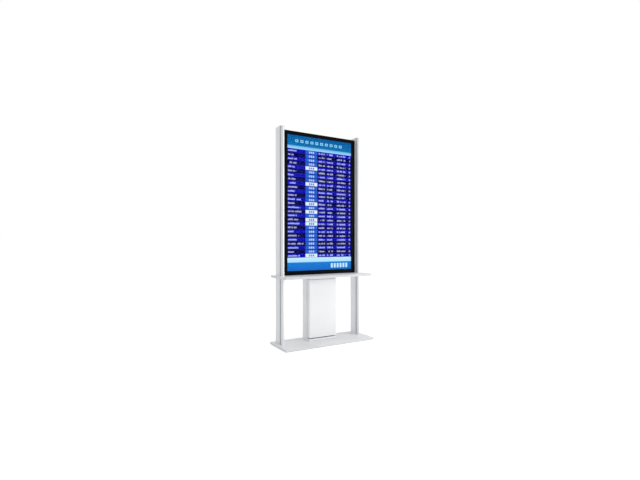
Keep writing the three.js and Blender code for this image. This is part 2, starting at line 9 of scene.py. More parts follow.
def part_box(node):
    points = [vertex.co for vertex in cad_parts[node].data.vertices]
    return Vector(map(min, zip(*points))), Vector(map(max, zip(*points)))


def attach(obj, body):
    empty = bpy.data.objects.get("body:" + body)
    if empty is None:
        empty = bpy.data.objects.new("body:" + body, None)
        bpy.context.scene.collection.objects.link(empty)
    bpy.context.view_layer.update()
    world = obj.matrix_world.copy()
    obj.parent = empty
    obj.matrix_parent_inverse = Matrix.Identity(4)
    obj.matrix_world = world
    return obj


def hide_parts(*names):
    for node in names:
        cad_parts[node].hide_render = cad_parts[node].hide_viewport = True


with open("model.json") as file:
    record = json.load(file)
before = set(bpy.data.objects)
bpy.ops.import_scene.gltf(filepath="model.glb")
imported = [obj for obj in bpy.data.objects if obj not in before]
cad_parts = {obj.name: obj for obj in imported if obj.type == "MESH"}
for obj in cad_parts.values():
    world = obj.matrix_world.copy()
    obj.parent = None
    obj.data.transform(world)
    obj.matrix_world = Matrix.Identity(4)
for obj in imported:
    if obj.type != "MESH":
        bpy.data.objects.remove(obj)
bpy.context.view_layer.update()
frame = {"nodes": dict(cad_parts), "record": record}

MM = 0.001
SLOT_OF = {s["node"]: s["material_slot"] for s in frame["record"]["subparts"]}
BODY_OF = {n: b for b, ns in frame["record"]["behaviour"]["bodies"].items() for n in ns}


# ---------------------------------------------------------------- camera, light and floor

CAMERA_AT = (-1.842, -3.116, 0.904)
CAMERA_TURN = 30.135  # degrees clockwise from +Y, seen from above
CAMERA_LENS = 22.3
CAMERA_SHIFT = 0.0042


def make_camera():
    data = bpy.data.cameras.new("camera")
    data.lens = CAMERA_LENS
    data.shift_y = CAMERA_SHIFT
    camera = bpy.data.objects.new("camera", data)
    camera.location = CAMERA_AT
    camera.rotation_euler = (math.radians(90), 0, -math.radians(CAMERA_TURN))
    bpy.context.scene.collection.objects.link(camera)
    bpy.context.scene.camera = camera


def make_light(name, location, target, size, power):
    data = bpy.data.lights.new(name, "AREA")
    data.shape = "RECTANGLE"
    data.size, data.size_y = size
    data.energy = power
    light = bpy.data.objects.new(name, data)
    light.location = location
    light.visible_camera = False
    aim = Vector(target) - Vector(location)
    light.rotation_euler = aim.to_track_quat("-Z", "Y").to_euler()
    bpy.context.scene.collection.objects.link(light)


BACKDROP = 1.0  # what the camera sees behind the kiosk
AMBIENT_FRONT = 0.82  # the light all round, on the visitor's side
AMBIENT_BACK = 0.77
AMBIENT_BLEND = 0.4  # how far from sideways, either way, the one turns into the other
FLOOR_GLOW = 0.05
FLOOR_LIFT = 0.25  # what the camera sees more of the floor than the kiosk does
FLOOR_HALF = 40  # metres
KEY = 110
RIM = 10
TOP = 10


def make_ambient(tree):
    """The light all round, a little brighter from the front."""
    way = tree.nodes.new("ShaderNodeTexCoord")
    split = tree.nodes.new("ShaderNodeSeparateXYZ")
    tree.links.new(way.outputs["Generated"], split.inputs[0])
    level = tree.nodes.new("ShaderNodeMapRange")
    level.interpolation_type = "SMOOTHSTEP"
    tree.links.new(split.outputs["Y"], level.inputs["Value"])
    level.inputs["From Min"].default_value = -AMBIENT_BLEND
    level.inputs["From Max"].default_value = AMBIENT_BLEND
    level.inputs["To Min"].default_value = AMBIENT_FRONT
    level.inputs["To Max"].default_value = AMBIENT_BACK
    lit = tree.nodes["Background"]
    lit.inputs["Color"].default_value = (1, 1, 1, 1)
    tree.links.new(level.outputs[0], lit.inputs["Strength"])
    return lit.outputs[0]


def make_studio():
    """A white studio with three large lamps. The camera sees it white behind the kiosk."""
    scene = bpy.context.scene
    scene.view_settings.view_transform = "Standard"
    world = bpy.data.worlds.new("studio")
    world.use_nodes = True
    tree = world.node_tree
    seen = tree.nodes.new("ShaderNodeBackground")
    seen.inputs["Color"].default_value = (1, 1, 1, 1)
    seen.inputs["Strength"].default_value = BACKDROP
    choose = tree.nodes.new("ShaderNodeMixShader")
    path = tree.nodes.new("ShaderNodeLightPath")
    tree.links.new(path.outputs["Is Camera Ray"], choose.inputs[0])
    tree.links.new(make_ambient(tree), choose.inputs[1])
    tree.links.new(seen.outputs[0], choose.inputs[2])
    tree.links.new(choose.outputs[0], tree.nodes["World Output"].inputs["Surface"])
    scene.world = world
    make_light("key", (3.9, -3.0, 1.5), (0, 0, 0.9), (1.6, 1.8), KEY)
    make_light("rim", (-3.4, 3.2, 1.7), (0, 0, 1.0), (2.0, 2.4), RIM)
    make_light("top", (0.0, -0.4, 4.2), (0, 0, 0), (3.0, 3.0), TOP)


# ---------------------------------------------------------------- materials


class Graph:
    """A material and the nodes that make it."""

    def __init__(self, name):
        self.material = bpy.data.materials.new(name)
        self.material.use_nodes = True
        self.tree = self.material.node_tree
        self.tree.nodes.clear()
        self.output = self.tree.nodes.new("ShaderNodeOutputMaterial")
        self.coords = None

    def put(self, socket, value):
        if isinstance(value, bpy.types.NodeSocket):
            self.tree.links.new(value, socket)
        elif value is not None:
            socket.default_value = value

    def node(self, kind, props=None, **inputs):
        made = self.tree.nodes.new("ShaderNode" + kind)
        for key, value in (props or {}).items():
            setattr(made, key, value)
        for key, value in inputs.items():
            self.put(made.inputs[key.replace("_", " ")], value)
        return made

    def place(self):
        """Positions in the kiosk's own frame, in metres."""
        if self.coords is None:
            self.coords = self.node("TexCoord").outputs["Object"]
        return self.coords

    def axes(self):
        split = self.node("SeparateXYZ", Vector=self.place())
        return split.outputs[0], split.outputs[1], split.outputs[2]

    def math(self, operation, a, b=0.0, clamp=False):
        made = self.node("Math", {"operation": operation, "use_clamp": clamp})
        self.put(made.inputs[0], a)
        self.put(made.inputs[1], b)
        return made.outputs[0]

    def between(self, value, low, high):
        """1 where value lies between low and high."""
        above = self.math("GREATER_THAN", value, low)
        return self.math("MULTIPLY", above, self.math("LESS_THAN", value, high))

    def mix(self, share, a, b):
        made = self.node("Mix", {"data_type": "RGBA"})
        self.put(made.inputs[0], share)
        self.put(made.inputs[6], a)
        self.put(made.inputs[7], b)
        return made.outputs[2]

    def scaled(self, x, y, z):
        made = self.node("VectorMath", {"operation": "MULTIPLY"})
        self.put(made.inputs[0], self.place())
        made.inputs[1].default_value = (x, y, z)
        return made.outputs[0]

    def noise(self, scale, detail=3.0, roughness=0.5, vector=None):
        made = self.node(
            "TexNoise",
            Vector=vector if vector is not None else self.place(),
            Scale=scale,
            Detail=detail,
            Roughness=roughness,
        )
        return made.outputs["Fac"]

    def ramp(self, value, low, high, start=0.0, end=1.0):
        """value from low to high, as start to end, and held there outside."""
        made = self.node("MapRange")
        self.put(made.inputs["Value"], value)
        for name, number in (("From Min", low), ("From Max", high), ("To Min", start), ("To Max", end)):
            made.inputs[name].default_value = number
        return made.outputs[0]

    def bump(self, height, strength, distance):
        return self.node("Bump", Height=height, Strength=strength, Distance=distance).outputs[0]

    def upright(self):
        """1 on the faces that stand upright, such as the edge of a plate. It masks where edge shade is
        painted.
        """
        facing = self.node("SeparateXYZ", Vector=self.node("NewGeometry").outputs["Normal"]).outputs[2]
        return self.math("LESS_THAN", self.math("ABSOLUTE", facing), 0.5)

    def surface(self, colour, roughness, normal=None, **values):
        shader = self.node("BsdfPrincipled")
        self.put(shader.inputs["Base Color"], colour)
        self.put(shader.inputs["Roughness"], roughness)
        if normal is not None:
            self.put(shader.inputs["Normal"], normal)
        for key, value in values.items():
            self.put(shader.inputs[key.replace("_", " ")], value)
        self.tree.links.new(shader.outputs[0], self.output.inputs["Surface"])
        return self.material


def rgb(red, green, blue):
    """A linear colour from the 0 to 255 scale of a screen."""
    return tuple(((c / 255) / 12.92 if c <= 10 else ((c / 255 + 0.055) / 1.055) ** 2.4)
                 for c in (red, green, blue)) + (1.0,)


def shade(colour, factor):
    return tuple(min(1.0, c * factor) for c in colour[:3]) + (1.0,)


def coated(name, colour, roughness, grain=900, depth=0.3, spread=0.03, sides=None):
    """Powder coat: an orange-peel skin with slow changes of tone and sheen. If sides is given, the upright
    faces take that colour as painted shade.
    """
    g = Graph(name)
    tone = g.ramp(g.noise(3.1, 3), 0.35, 0.65)
    mixed = g.mix(tone, shade(colour, 1 - spread), shade(colour, 1 + spread))
    # painted shade: upright faces take the darker sides colour
    if sides:
        mixed = g.mix(g.upright(), mixed, sides)
    fine = g.noise(grain, 2)
    sheen = g.ramp(g.noise(7.0, 4), 0.3, 0.7, roughness - 0.04, roughness + 0.05)
    return g.surface(mixed, sheen, g.bump(fine, depth, 0.0002), Specular_IOR_Level=0.4)


def anodised(name, colour, roughness):
    """Satin anodised aluminium, with the fine upright lines that the extrusion die leaves."""
    g = Graph(name)
    lines = g.noise(1.0, 3, 0.6, g.scaled(2600, 2600, 5))
    broad = g.noise(1.0, 2, 0.5, g.scaled(160, 160, 1.2))
    tone = g.ramp(lines, 0.3, 0.7)
    mixed = g.mix(tone, shade(colour, 0.95), shade(colour, 1.04))
    mixed = g.mix(g.ramp(broad, 0.35, 0.65, 0.0, 0.25), mixed, shade(colour, 0.9))
    sheen = g.ramp(lines, 0.3, 0.7, roughness - 0.05, roughness + 0.06)
    return g.surface(mixed, sheen, g.bump(lines, 0.12, 0.0001), Metallic=0.3)


def plated(name, colour, roughness):
    """Zinc plate, with soft cloudy patches and fine scuffs."""
    g = Graph(name)
    cells = g.node("TexVoronoi", Vector=g.place(), Scale=70.0).outputs["Color"]
    grey = g.node("SeparateColor", Color=cells).outputs[0]
    mixed = g.mix(grey, shade(colour, 0.94), shade(colour, 1.05))
    scuffs = g.noise(1.0, 4, 0.6, g.scaled(500, 500, 30))
    sheen = g.ramp(scuffs, 0.3, 0.7, roughness - 0.08, roughness + 0.1)
    return g.surface(mixed, sheen, g.bump(scuffs, 0.15, 0.0001), Metallic=1.0)


def machined(name, colour, roughness, scale=(1800, 1800, 60)):
    """Bright steel with a drawn or turned finish."""
    g = Graph(name)
    lines = g.noise(1.0, 3, 0.6, g.scaled(*scale))
    mixed = g.mix(g.ramp(lines, 0.3, 0.7), shade(colour, 0.85), shade(colour, 1.1))
    sheen = g.ramp(lines, 0.3, 0.7, max(0.03, roughness - 0.06), roughness + 0.08)
    return g.surface(mixed, sheen, g.bump(lines, 0.1, 0.0001), Metallic=1.0)


def moulded(name, colour, roughness, grain=2200, depth=0.25, gloss=0.3, dusty=0.5):
    """Moulded plastic or rubber, with a fine spark-eroded grain and a little dust."""
    g = Graph(name)
    grains = g.noise(grain, 2)
    dust = g.ramp(g.noise(24, 5, 0.65), 0.5, 0.8, 0.0, dusty)
    lighter = tuple(c * 0.7 + 0.02 for c in colour[:3]) + (1.0,)
    mixed = g.mix(dust, colour, lighter)
    sheen = g.ramp(g.noise(9, 3), 0.3, 0.7, roughness - 0.05, roughness + 0.07)
    return g.surface(mixed, sheen, g.bump(grains, depth, 0.0001), Specular_IOR_Level=gloss)


def touch_glass_material():
    """Clear coated glass with faint finger smears."""
    g = Graph("touch_glass")
    smears = g.noise(1.0, 5, 0.6, g.scaled(18, 18, 9))
    sheen = g.ramp(smears, 0.5, 0.75, 0.0, 0.05)
    return g.surface((0.98, 1.0, 1.0, 1.0), sheen, Transmission_Weight=1.0, IOR=1.12)


def laminate():
    """White laminate with a soft, slightly uneven sheen, and painted shade on its upright edges: a greyer
    band round the edge.
    """
    g = Graph("white_laminate_shaded_edges")
    tone = g.ramp(g.noise(2.3, 4), 0.35, 0.65)
    colour = rgb(241, 242, 243)
    mixed = g.mix(tone, shade(colour, 0.98), shade(colour, 1.02))
    # painted shade: the upright edge faces are coloured darker than the top, as if less light falls on them
    mixed = g.mix(g.upright(), mixed, rgb(207, 208, 210))
    fine = g.noise(1500, 2)
    sheen = g.ramp(g.noise(14, 5, 0.6), 0.35, 0.7, 0.34, 0.46)
    return g.surface(mixed, sheen, g.bump(fine, 0.12, 0.0001), Specular_IOR_Level=0.25)


# The picture's layout, as shares of its height from the top and of its width from the left.
HEADER = 0.076
BAND = 0.099
ROWS_END = 0.903
FOOT_BAND = 0.938
ROWS = 27
PLACE_COLUMN = (0.012, 0.24)
TIME_COLUMNS = ((0.47, 0.57), (0.605, 0.7), (0.765, 0.905), (0.965, 0.985))
MARK_PITCH = 0.0125
CELL_COLUMN = (0.27, 0.45)
CELL_MARKS = (0.315, 0.405)
CELL_MARK_PITCH = 1 / 34
TITLE = (0.116, 0.87)
TITLE_PITCH = 0.0754
CLOCK_ACROSS = (0.665, 0.953)
CLOCK_DOWN = (0.951, 0.985)
CLOCK_PITCH = 0.048
PICTURE_MARGIN = 11 * MM  # how far the panel reaches past the picture


def chance(g, a, b, seed):
    """A steady random number for each pair of whole numbers."""
    joined = g.node("CombineXYZ", X=a, Y=b, Z=seed)
    return g.node("TexWhiteNoise", Vector=joined.outputs[0]).outputs["Value"]


def marks(g, across, down, row, low, high, seed):
    """Marks in a line of text: blocks of uneven height, with gaps between words."""
    place = g.math("DIVIDE", across, MARK_PITCH)
    column = g.math("FLOOR", place)
    seen = g.math("GREATER_THAN", chance(g, column, row, seed), 0.14)
    taller = g.math("GREATER_THAN", chance(g, column, row, seed + 1.0), 0.6)
    start = g.math("SUBTRACT", low, g.math("MULTIPLY", taller, (high - low) * 0.35))
    tall = g.math("MULTIPLY", g.math("GREATER_THAN", down, start), g.math("LESS_THAN", down, high))
    wide = g.between(g.math("FRACT", place), 0.1, 0.8)
    return g.math("MULTIPLY", seen, g.math("MULTIPLY", tall, wide))


def picture_rows(g, u, v):
    """Rows by turns bright and dark blue, with marks in columns and a column of cells."""
    row_place = g.math("MULTIPLY", g.math("SUBTRACT", v, BAND), ROWS / (ROWS_END - BAND))
    row = g.math("FLOOR", row_place)
    within = g.math("SUBTRACT", row_place, row)
    odd = g.math("GREATER_THAN", g.math("FLOORED_MODULO", row, 2.0), 0.5)
    colour = g.mix(odd, rgb(10, 10, 176), rgb(0, 0, 74))

    # Each place name has a length of its own, and most are short
    start, end = PLACE_COLUMN
    longer = g.math("POWER", chance(g, row, 0.0, 3.0), 2.0)
    length = g.ramp(longer, 0.0, 1.0, start + (end - start) * 0.35, end)
    ink = g.between(u, start, length)
    for column in TIME_COLUMNS:
        ink = g.math("MAXIMUM", ink, g.between(u, *column))
    letters = marks(g, u, within, row, 0.4, 0.72, 7.0)
    colour = g.mix(g.math("MULTIPLY", ink, letters), colour, rgb(188, 194, 246))

    # Some cells are white, and more of those about halfway down
    cell = g.math("MULTIPLY", g.between(u, *CELL_COLUMN), g.between(within, 0.06, 0.94))
    often = g.ramp(g.between(row, ROWS * 0.42, ROWS * 0.68), 0.0, 1.0, 0.2, 0.8)
    white = g.math("LESS_THAN", chance(g, row, 1.0, 11.0), often)
    ground = g.mix(white, rgb(34, 96, 206), rgb(226, 238, 252))
    mark = g.mix(white, rgb(190, 214, 250), rgb(60, 110, 190))
    blob = g.math("MULTIPLY", g.between(u, *CELL_MARKS), g.between(within, 0.28, 0.76))
    stripes = g.math("LESS_THAN", g.math("FRACT", g.math("MULTIPLY", u, 1 / CELL_MARK_PITCH)), 0.62)
    return g.mix(cell, colour, g.mix(g.math("MULTIPLY", blob, stripes), ground, mark))


def picture_header(g, u, v):
    """A heading of hollow boxes, on a ground that brightens downward."""
    glyph = g.math("FRACT", g.math("DIVIDE", g.math("SUBTRACT", u, TITLE[0]), TITLE_PITCH))
    whole = g.math("MULTIPLY", g.between(glyph, 0.05, 0.62), g.between(v, HEADER * 0.4, HEADER * 0.66))
    hollow = g.math("MULTIPLY", g.between(glyph, 0.2, 0.47), g.between(v, HEADER * 0.47, HEADER * 0.59))
    title = g.math("MULTIPLY", g.math("SUBTRACT", whole, hollow), g.between(u, *TITLE))
    ground = g.mix(g.ramp(v, 0.0, HEADER), rgb(0, 92, 160), rgb(0, 112, 178))
    return g.mix(title, ground, rgb(150, 222, 246))


def picture_footer(g, u, v):
    """Pale blocks for the clock, at the lower right."""
    digit = g.math("FRACT", g.math("DIVIDE", g.math("SUBTRACT", u, CLOCK_ACROSS[0]), CLOCK_PITCH))
    clock = g.math("MULTIPLY", g.between(digit, 0.0, 0.66), g.between(v, *CLOCK_DOWN))
    clock = g.math("MULTIPLY", clock, g.between(u, *CLOCK_ACROSS))
    ground = g.mix(g.ramp(v, FOOT_BAND, 1.0), rgb(24, 126, 216), rgb(14, 104, 196))
    return g.mix(clock, ground, rgb(196, 234, 255))


def picture_material():
    """A lit timetable of rows and columns, with plain marks where words would be."""
    g = Graph("picture")
    low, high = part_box("lcd_panel")
    x, _, z = g.axes()
    left = low.x + PICTURE_MARGIN
    top = high.z - PICTURE_MARGIN
    width = high.x - low.x - 2 * PICTURE_MARGIN
    height = high.z - low.z - 2 * PICTURE_MARGIN
    u = g.math("DIVIDE", g.math("SUBTRACT", x, left), width)
    v = g.math("DIVIDE", g.math("SUBTRACT", top, z), height)

    colour = picture_rows(g, u, v)
    band = g.mix(g.ramp(v, HEADER, BAND), rgb(104, 176, 228), rgb(160, 220, 255))
    colour = g.mix(g.math("LESS_THAN", v, BAND), colour, band)
    colour = g.mix(g.math("LESS_THAN", v, HEADER), colour, picture_header(g, u, v))
    foot_band = g.mix(g.ramp(v, ROWS_END, FOOT_BAND), rgb(202, 236, 255), rgb(168, 226, 255))
    colour = g.mix(g.math("GREATER_THAN", v, ROWS_END), colour, foot_band)
    colour = g.mix(g.math("GREATER_THAN", v, FOOT_BAND), colour, picture_footer(g, u, v))

    # Nothing is lit outside the picture
    lit = g.math("MULTIPLY", g.between(u, 0.0, 1.0), g.between(v, 0.0, 1.0))
    colour = g.mix(lit, (0, 0, 0, 1), colour)
    return g.surface(
        (0.004, 0.004, 0.005, 1.0), 0.5, Emission_Color=colour, Emission_Strength=1.0,
        Specular_IOR_Level=0.0,
    )


def board_material():
    """Green solder mask with tracks and pads."""
    g = Graph("circuit_board")
    tracks = g.noise(1.0, 2, 0.4, g.scaled(700, 1, 90))
    tracks = g.math("GREATER_THAN", tracks, 0.56)
    across = g.math("GREATER_THAN", g.noise(1.0, 2, 0.4, g.scaled(90, 1, 700)), 0.6)
    both = g.math("MAXIMUM", tracks, across)
    colour = g.mix(both, rgb(14, 74, 40), rgb(30, 104, 60))
    dots = g.node("TexVoronoi", Vector=g.place(), Scale=240.0).outputs["Distance"]
    pads = g.math("LESS_THAN", dots, 0.16)
    colour = g.mix(pads, colour, rgb(190, 190, 178))
    return g.surface(colour, g.ramp(pads, 0, 1, 0.35, 0.25), g.bump(both, 0.3, 0.0001))


def diffuser():
    g = Graph("diffuser")
    soft = g.noise(120, 3)
    colour = g.mix(soft, rgb(226, 226, 222), rgb(238, 238, 236))
    return g.surface(colour, 0.6, g.bump(soft, 0.2, 0.0002))


def floor_material():
    g = Graph("floor")
    soft = g.noise(0.8, 3)
    colour = g.mix(soft, (0.93, 0.93, 0.93, 1.0), (0.96, 0.96, 0.96, 1.0))
    seen = g.node("LightPath").outputs["Is Camera Ray"]
    glow = g.ramp(seen, 0.0, 1.0, FLOOR_GLOW, FLOOR_GLOW + FLOOR_LIFT)
    return g.surface(
        colour, 0.75, g.bump(g.noise(160, 3), 0.04, 0.0003), Specular_IOR_Level=0.2,
        Emission_Color=(1, 1, 1, 1), Emission_Strength=glow,
    )


SLOT_MATERIALS = {
    "white_steel": coated("white_powder_coat", rgb(229, 230, 232), 0.38),
    "white_board": laminate(),
    "aluminium": anodised("satin_aluminium", rgb(222, 224, 227), 0.45),
    "zinc_steel": plated("zinc_plate", rgb(186, 190, 194), 0.34),
    "bare_steel": machined("bright_steel", rgb(176, 178, 180), 0.28),
    "chrome": machined("polished_chrome", rgb(222, 224, 228), 0.1, (2400, 300, 300)),
    "black_plastic": moulded("black_plastic", rgb(15, 15, 16), 0.42, 2200, 0.25, 0.2, 0.2),
    "black_steel": coated("black_powder_coat", rgb(30, 31, 33), 0.55, 1400, 0.5, 0.12),
    "grey_rubber": moulded("grey_rubber", rgb(156, 158, 161), 0.8, 1400, 0.3, 0.2, 0.2),
    "rubber": moulded("rubber", rgb(34, 34, 36), 0.8, 1400, 0.3, 0.2),
    "glass": touch_glass_material(),
    "picture": picture_material(),
    "diffuser": diffuser(),
    "circuit_board": board_material(),
}


# ---------------------------------------------------------------- mesh tools


BROAD = 8 * MM  # faces wider than this are shaded flat
SMOOTH_BELOW = 35  # degrees between faces that are shaded as one


def finish_piece(bm, name, body, slot, material=None, replaces=()):
    """Makes the object, shades its narrow faces smooth, and puts it on its body."""
    bmesh.ops.recalc_face_normals(bm, faces=bm.faces)
    mesh = bpy.data.meshes.new(name)
    bm.to_mesh(mesh)
    bm.free()
    mesh.shade_smooth()
    mesh.set_sharp_from_angle(angle=math.radians(SMOOTH_BELOW))
    for face in mesh.polygons:
        longest = max((mesh.vertices[a].co - mesh.vertices[b].co).length for a, b in face.edge_keys)
        face.use_smooth = face.area < BROAD * longest
    mesh.materials.append(material or SLOT_MATERIALS[slot])
    made = bpy.data.objects.new(name, mesh)
    bpy.context.scene.collection.objects.link(made)
    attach(made, body)
    if replaces:
        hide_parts(*replaces)
    return made


def stands_for(bm, name, *nodes, **options):
    """A finished piece in place of CAD nodes, on their body and with their finish."""
    first = nodes[0]
    return finish_piece(bm, name, BODY_OF[first], SLOT_OF[first], replaces=nodes, **options)


def bevel_edges(bm, edges, width, segments):
    bmesh.ops.bevel(
        bm, geom=edges, offset=width, segments=segments, profile=0.5, affect="EDGES", clamp_overlap=True
    )


def sharp_edges(bm, angle=32):
    limit = math.radians(angle)
    return [e for e in bm.edges if len(e.link_faces) == 2 and e.calc_face_angle(0) > limit]


def box_edges(bm, node):
    """The sharp edges that lie along the edges of a node's own box."""
    low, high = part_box(node)

    def planes(vert):
        sides = set()
        for axis in range(3):
            if abs(vert.co[axis] - low[axis]) < 2e-5:
                sides.add((axis, 0))
            if abs(vert.co[axis] - high[axis]) < 2e-5:
                sides.add((axis, 1))
        return sides

    return [e for e in sharp_edges(bm) if len(planes(e.verts[0]) & planes(e.verts[1])) >= 2]


def copied(node):
    """A CAD piece's mesh with its flat faces whole again."""
    bm = bmesh.new()
    bm.from_mesh(frame["nodes"][node].data)
    bmesh.ops.remove_doubles(bm, verts=bm.verts, dist=2e-6)
    bmesh.ops.dissolve_limit(bm, angle_limit=math.radians(0.5), verts=bm.verts, edges=bm.edges)
    return bm


def refined(node, bevel=0.4, segments=2, outer=0.0):
    """A CAD piece with its edges rounded, in millimetres, in place of the faceted solid."""
    bm = copied(node)
    if outer:
        bevel_edges(bm, box_edges(bm, node), outer * MM, 4)
    bevel_edges(bm, sharp_edges(bm), bevel * MM, segments)
    return stands_for(bm, node + "_fine", node)


def circle(radius, steps=32):
    angles = [2 * math.pi * i / steps for i in range(steps)]
    return [(radius * math.cos(a), radius * math.sin(a)) for a in angles]


def rounded_rect(half_w, half_h, radius, steps=6):
    """Points round a rectangle whose corners are arcs, the same number whatever the radius."""
    radius = max(radius, 0.02 * MM)
    points = []
    for quarter, (su, sv) in enumerate(((1, 1), (-1, 1), (-1, -1), (1, -1))):
        for i in range(steps + 1):
            a = math.pi / 2 * (quarter + i / steps)
            u = su * (half_w - radius) + radius * math.cos(a)
            points.append((u, sv * (half_h - radius) + radius * math.sin(a)))
    return points


def placed(points, axis, level, centre=(0, 0)):
    """Flat points set at a level along an axis. They keep the order of the other two axes."""
    cu, cv = centre
    if axis == "x":
        return [Vector((level, cu + u, cv + v)) for u, v in points]
    if axis == "y":
        return [Vector((cu + u, level, cv + v)) for u, v in points]
    return [Vector((cu + u, cv + v, level)) for u, v in points]


def loft(bm, rings, closed=False):
    """Skin over a run of rings. The ends are capped, or joined to each other if closed."""
    made = [[bm.verts.new(p) for p in ring] for ring in rings]
    pairs = list(zip(made, made[1:] + made[:1])) if closed else list(zip(made, made[1:]))
    count = len(made[0])
    for a, b in pairs:
        for i in range(count):
            j = (i + 1) % count
            bm.faces.new((a[i], a[j], b[j], b[i]))
    if not closed:
        bm.faces.new(made[0])
        bm.faces.new(made[-1])
    return bm


def rounding(width, steps=3):
    """(inset, rise) pairs over a rounded edge of the given width."""
    angles = [math.pi / 2 * i / steps for i in range(steps + 1)]
    return [(width * (1 - math.sin(a)), width * (1 - math.cos(a))) for a in angles]


def slab(bm, outline, axis, low, high, centre=(0, 0), edge=0.5 * MM, steps=3):
    """A slab between two levels with both rims rounded. outline(inset) gives its points."""
    rings = [placed(outline(inset), axis, low + rise, centre) for inset, rise in rounding(edge, steps)]
    rings += [
        placed(outline(inset), axis, high - rise, centre)
        for inset, rise in reversed(rounding(edge, steps))
    ]
    return loft(bm, rings)


def box_slab(bm, low, high, edge=0.4, radius=0.8):
    """A rounded block between two corners, in millimetres, made along its thinnest side."""
    low, high = Vector(low) * MM, Vector(high) * MM
    size = high - low
    axis = min(range(3), key=lambda i: size[i])
    u, v = [i for i in range(3) if i != axis]
    centre = ((low[u] + high[u]) / 2, (low[v] + high[v]) / 2)
    edge = min(edge * MM, size[axis] * 0.45)

    def outline(inset):
        return rounded_rect(size[u] / 2 - inset, size[v] / 2 - inset, radius * MM - inset, 4)

    return slab(bm, outline, "xyz"[axis], low[axis], high[axis], centre, edge, 2)


def sweep_frame(bm, profile, half_w, half_h, radius, centre, steps=6):
    """A profile of (inset, y) points, in metres, swept round an upright rectangle."""
    rings = [
        placed(rounded_rect(half_w - inset, half_h - inset, radius - inset, steps), "y", y, centre)
        for inset, y in profile
    ]
    return loft(bm, rings, closed=True)


def turned(bm, profile, axis, at, steps=32, closed=False):
    """A lathed form. profile holds (radius, level) pairs along the axis, from the point at."""
    index = "xyz".index(axis)
    others = [i for i in range(3) if i != index]
    rings = []
    for radius, level in profile:
        rings.append(
            placed(circle(radius, steps), axis, at[index] + level, (at[others[0]], at[others[1]]))
        )
    return loft(bm, rings, closed)


def oriented(bm, start, face_to):
    """Turns what was made along +Z at the origin to point along face_to, at start."""
    spin = Vector((0, 0, 1)).rotation_difference(Vector(face_to)).to_matrix().to_4x4()
    bmesh.ops.transform(bm, matrix=Matrix.Translation(start) @ spin, verts=bm.verts)


def merge(target, part):
    """Adds one mesh to another."""
    mesh = bpy.data.meshes.new("part")
    part.to_mesh(mesh)
    part.free()
    target.from_mesh(mesh)
    bpy.data.meshes.remove(mesh)


def hex_points(across, steps=24):
    """Points round a hexagon, as many as a circle of the same steps has."""
    points = []
    for i in range(steps):
        a = 2 * math.pi * i / steps
        r = across / 2 / math.cos((a % (math.pi / 3)) - math.pi / 6)
        points.append((r * math.cos(a), r * math.sin(a)))
    return points


def screw(target, at, face_to, radius=3.4 * MM, height=2.0 * MM):
    """A button-head screw with a hexagon socket, its seat at a point."""
    bm = bmesh.new()
    dome = [(1.0, 0.0), (1.0, 0.25), (0.93, 0.55), (0.8, 0.8), (0.62, 0.96), (0.5, 1.0)]
    rings = [placed(circle(radius * r, 24), "z", height * h) for r, h in dome]
    rings.append(placed(hex_points(radius * 0.86), "z", height * 0.98))
    rings.append(placed(hex_points(radius * 0.8), "z", height * 0.35))
    loft(bm, rings)
    oriented(bm, at, face_to)
    merge(target, bm)


def hex_bolt(target, at, face_to, across=13 * MM, height=5.3 * MM):
    """A hexagon bolt head on its washer."""
    bm = bmesh.new()
    washer = 1.4 * MM
    loft(bm, [placed(circle(r * across, 24), "z", z) for r, z in (
        (0.8, 0), (0.86, 0.2 * MM), (0.86, washer - 0.2 * MM), (0.82, washer))])
    head = bmesh.new()
    loft(head, [
        placed(hex_points(across), "z", washer),
        placed(hex_points(across), "z", washer + height * 0.86),
        placed(circle(across * 0.475, 24), "z", washer + height),
    ])
    merge(bm, head)
    oriented(bm, at, face_to)
    merge(target, bm)


def fasteners(name, body, slot, kind, places, face_to, **sizes):
    bm = bmesh.new()
    for place in places:
        kind(bm, Vector(place) * MM, face_to, **sizes)
    return finish_piece(bm, name, body, slot)


def on_frame(bm, name, slot, **options):
    return finish_piece(bm, name, "frame", slot, **options)


def spread(low, high, count):
    return [low + (high - low) * i / (count - 1) for i in range(count)]


def millimetres(node):
    low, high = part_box(node)
    return low / MM, high / MM


# ---------------------------------------------------------------- base, posts and shelf


def build_base():
    bm = copied("base_plate")
    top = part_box("base_plate")[1].z
    rim = box_edges(bm, "base_plate")
    rim += [e for e in sharp_edges(bm) if all(abs(v.co.z - top) < 1e-5 for v in e.verts) and e not in rim]
    bevel_edges(bm, rim, 1.6 * MM, 4)
    # painted shade: the plate's upright edges get a darker coat colour than its top
    paint = coated("base_powder_coat_shaded_edges", rgb(226, 227, 229), 0.4, sides=rgb(208, 209, 212))
    stands_for(bm, "base_plate_fine", "base_plate", material=paint)
    for end in ("front", "rear"):
        for side in ("left", "right"):
            node = f"pad_{end}_{side}"
            low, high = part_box(node)
            radius = (high.x - low.x) / 2
            bm = bmesh.new()
            middle = ((low.x + high.x) / 2, (low.y + high.y) / 2)
            slab(bm, lambda inset: circle(radius - inset, 48), "z", low.z, high.z, middle, 0.8 * MM)
            stands_for(bm, node + "_fine", node)


POST_HALF = 22 * MM
POST_BACK = 111 * MM
POST_CORNER = 1.5 * MM
POST_WALL = 3 * MM
NOSE_R = 16 * MM
NOSE_MID = 15 * MM  # the middle of the nose's round front, along Y
NOSE_BACK = 17 * MM
CAP_PLATE = 4 * MM


def nose(radius, back, steps=56):
    """The narrow round front of a post, from its left side forward and round to its right."""
    arc = [math.pi + math.pi * i / steps for i in range(steps + 1)]
    round_front = [(radius * math.cos(a), NOSE_MID + radius * math.sin(a)) for a in arc]
    return [(-radius, back), *round_front, (radius, back)]


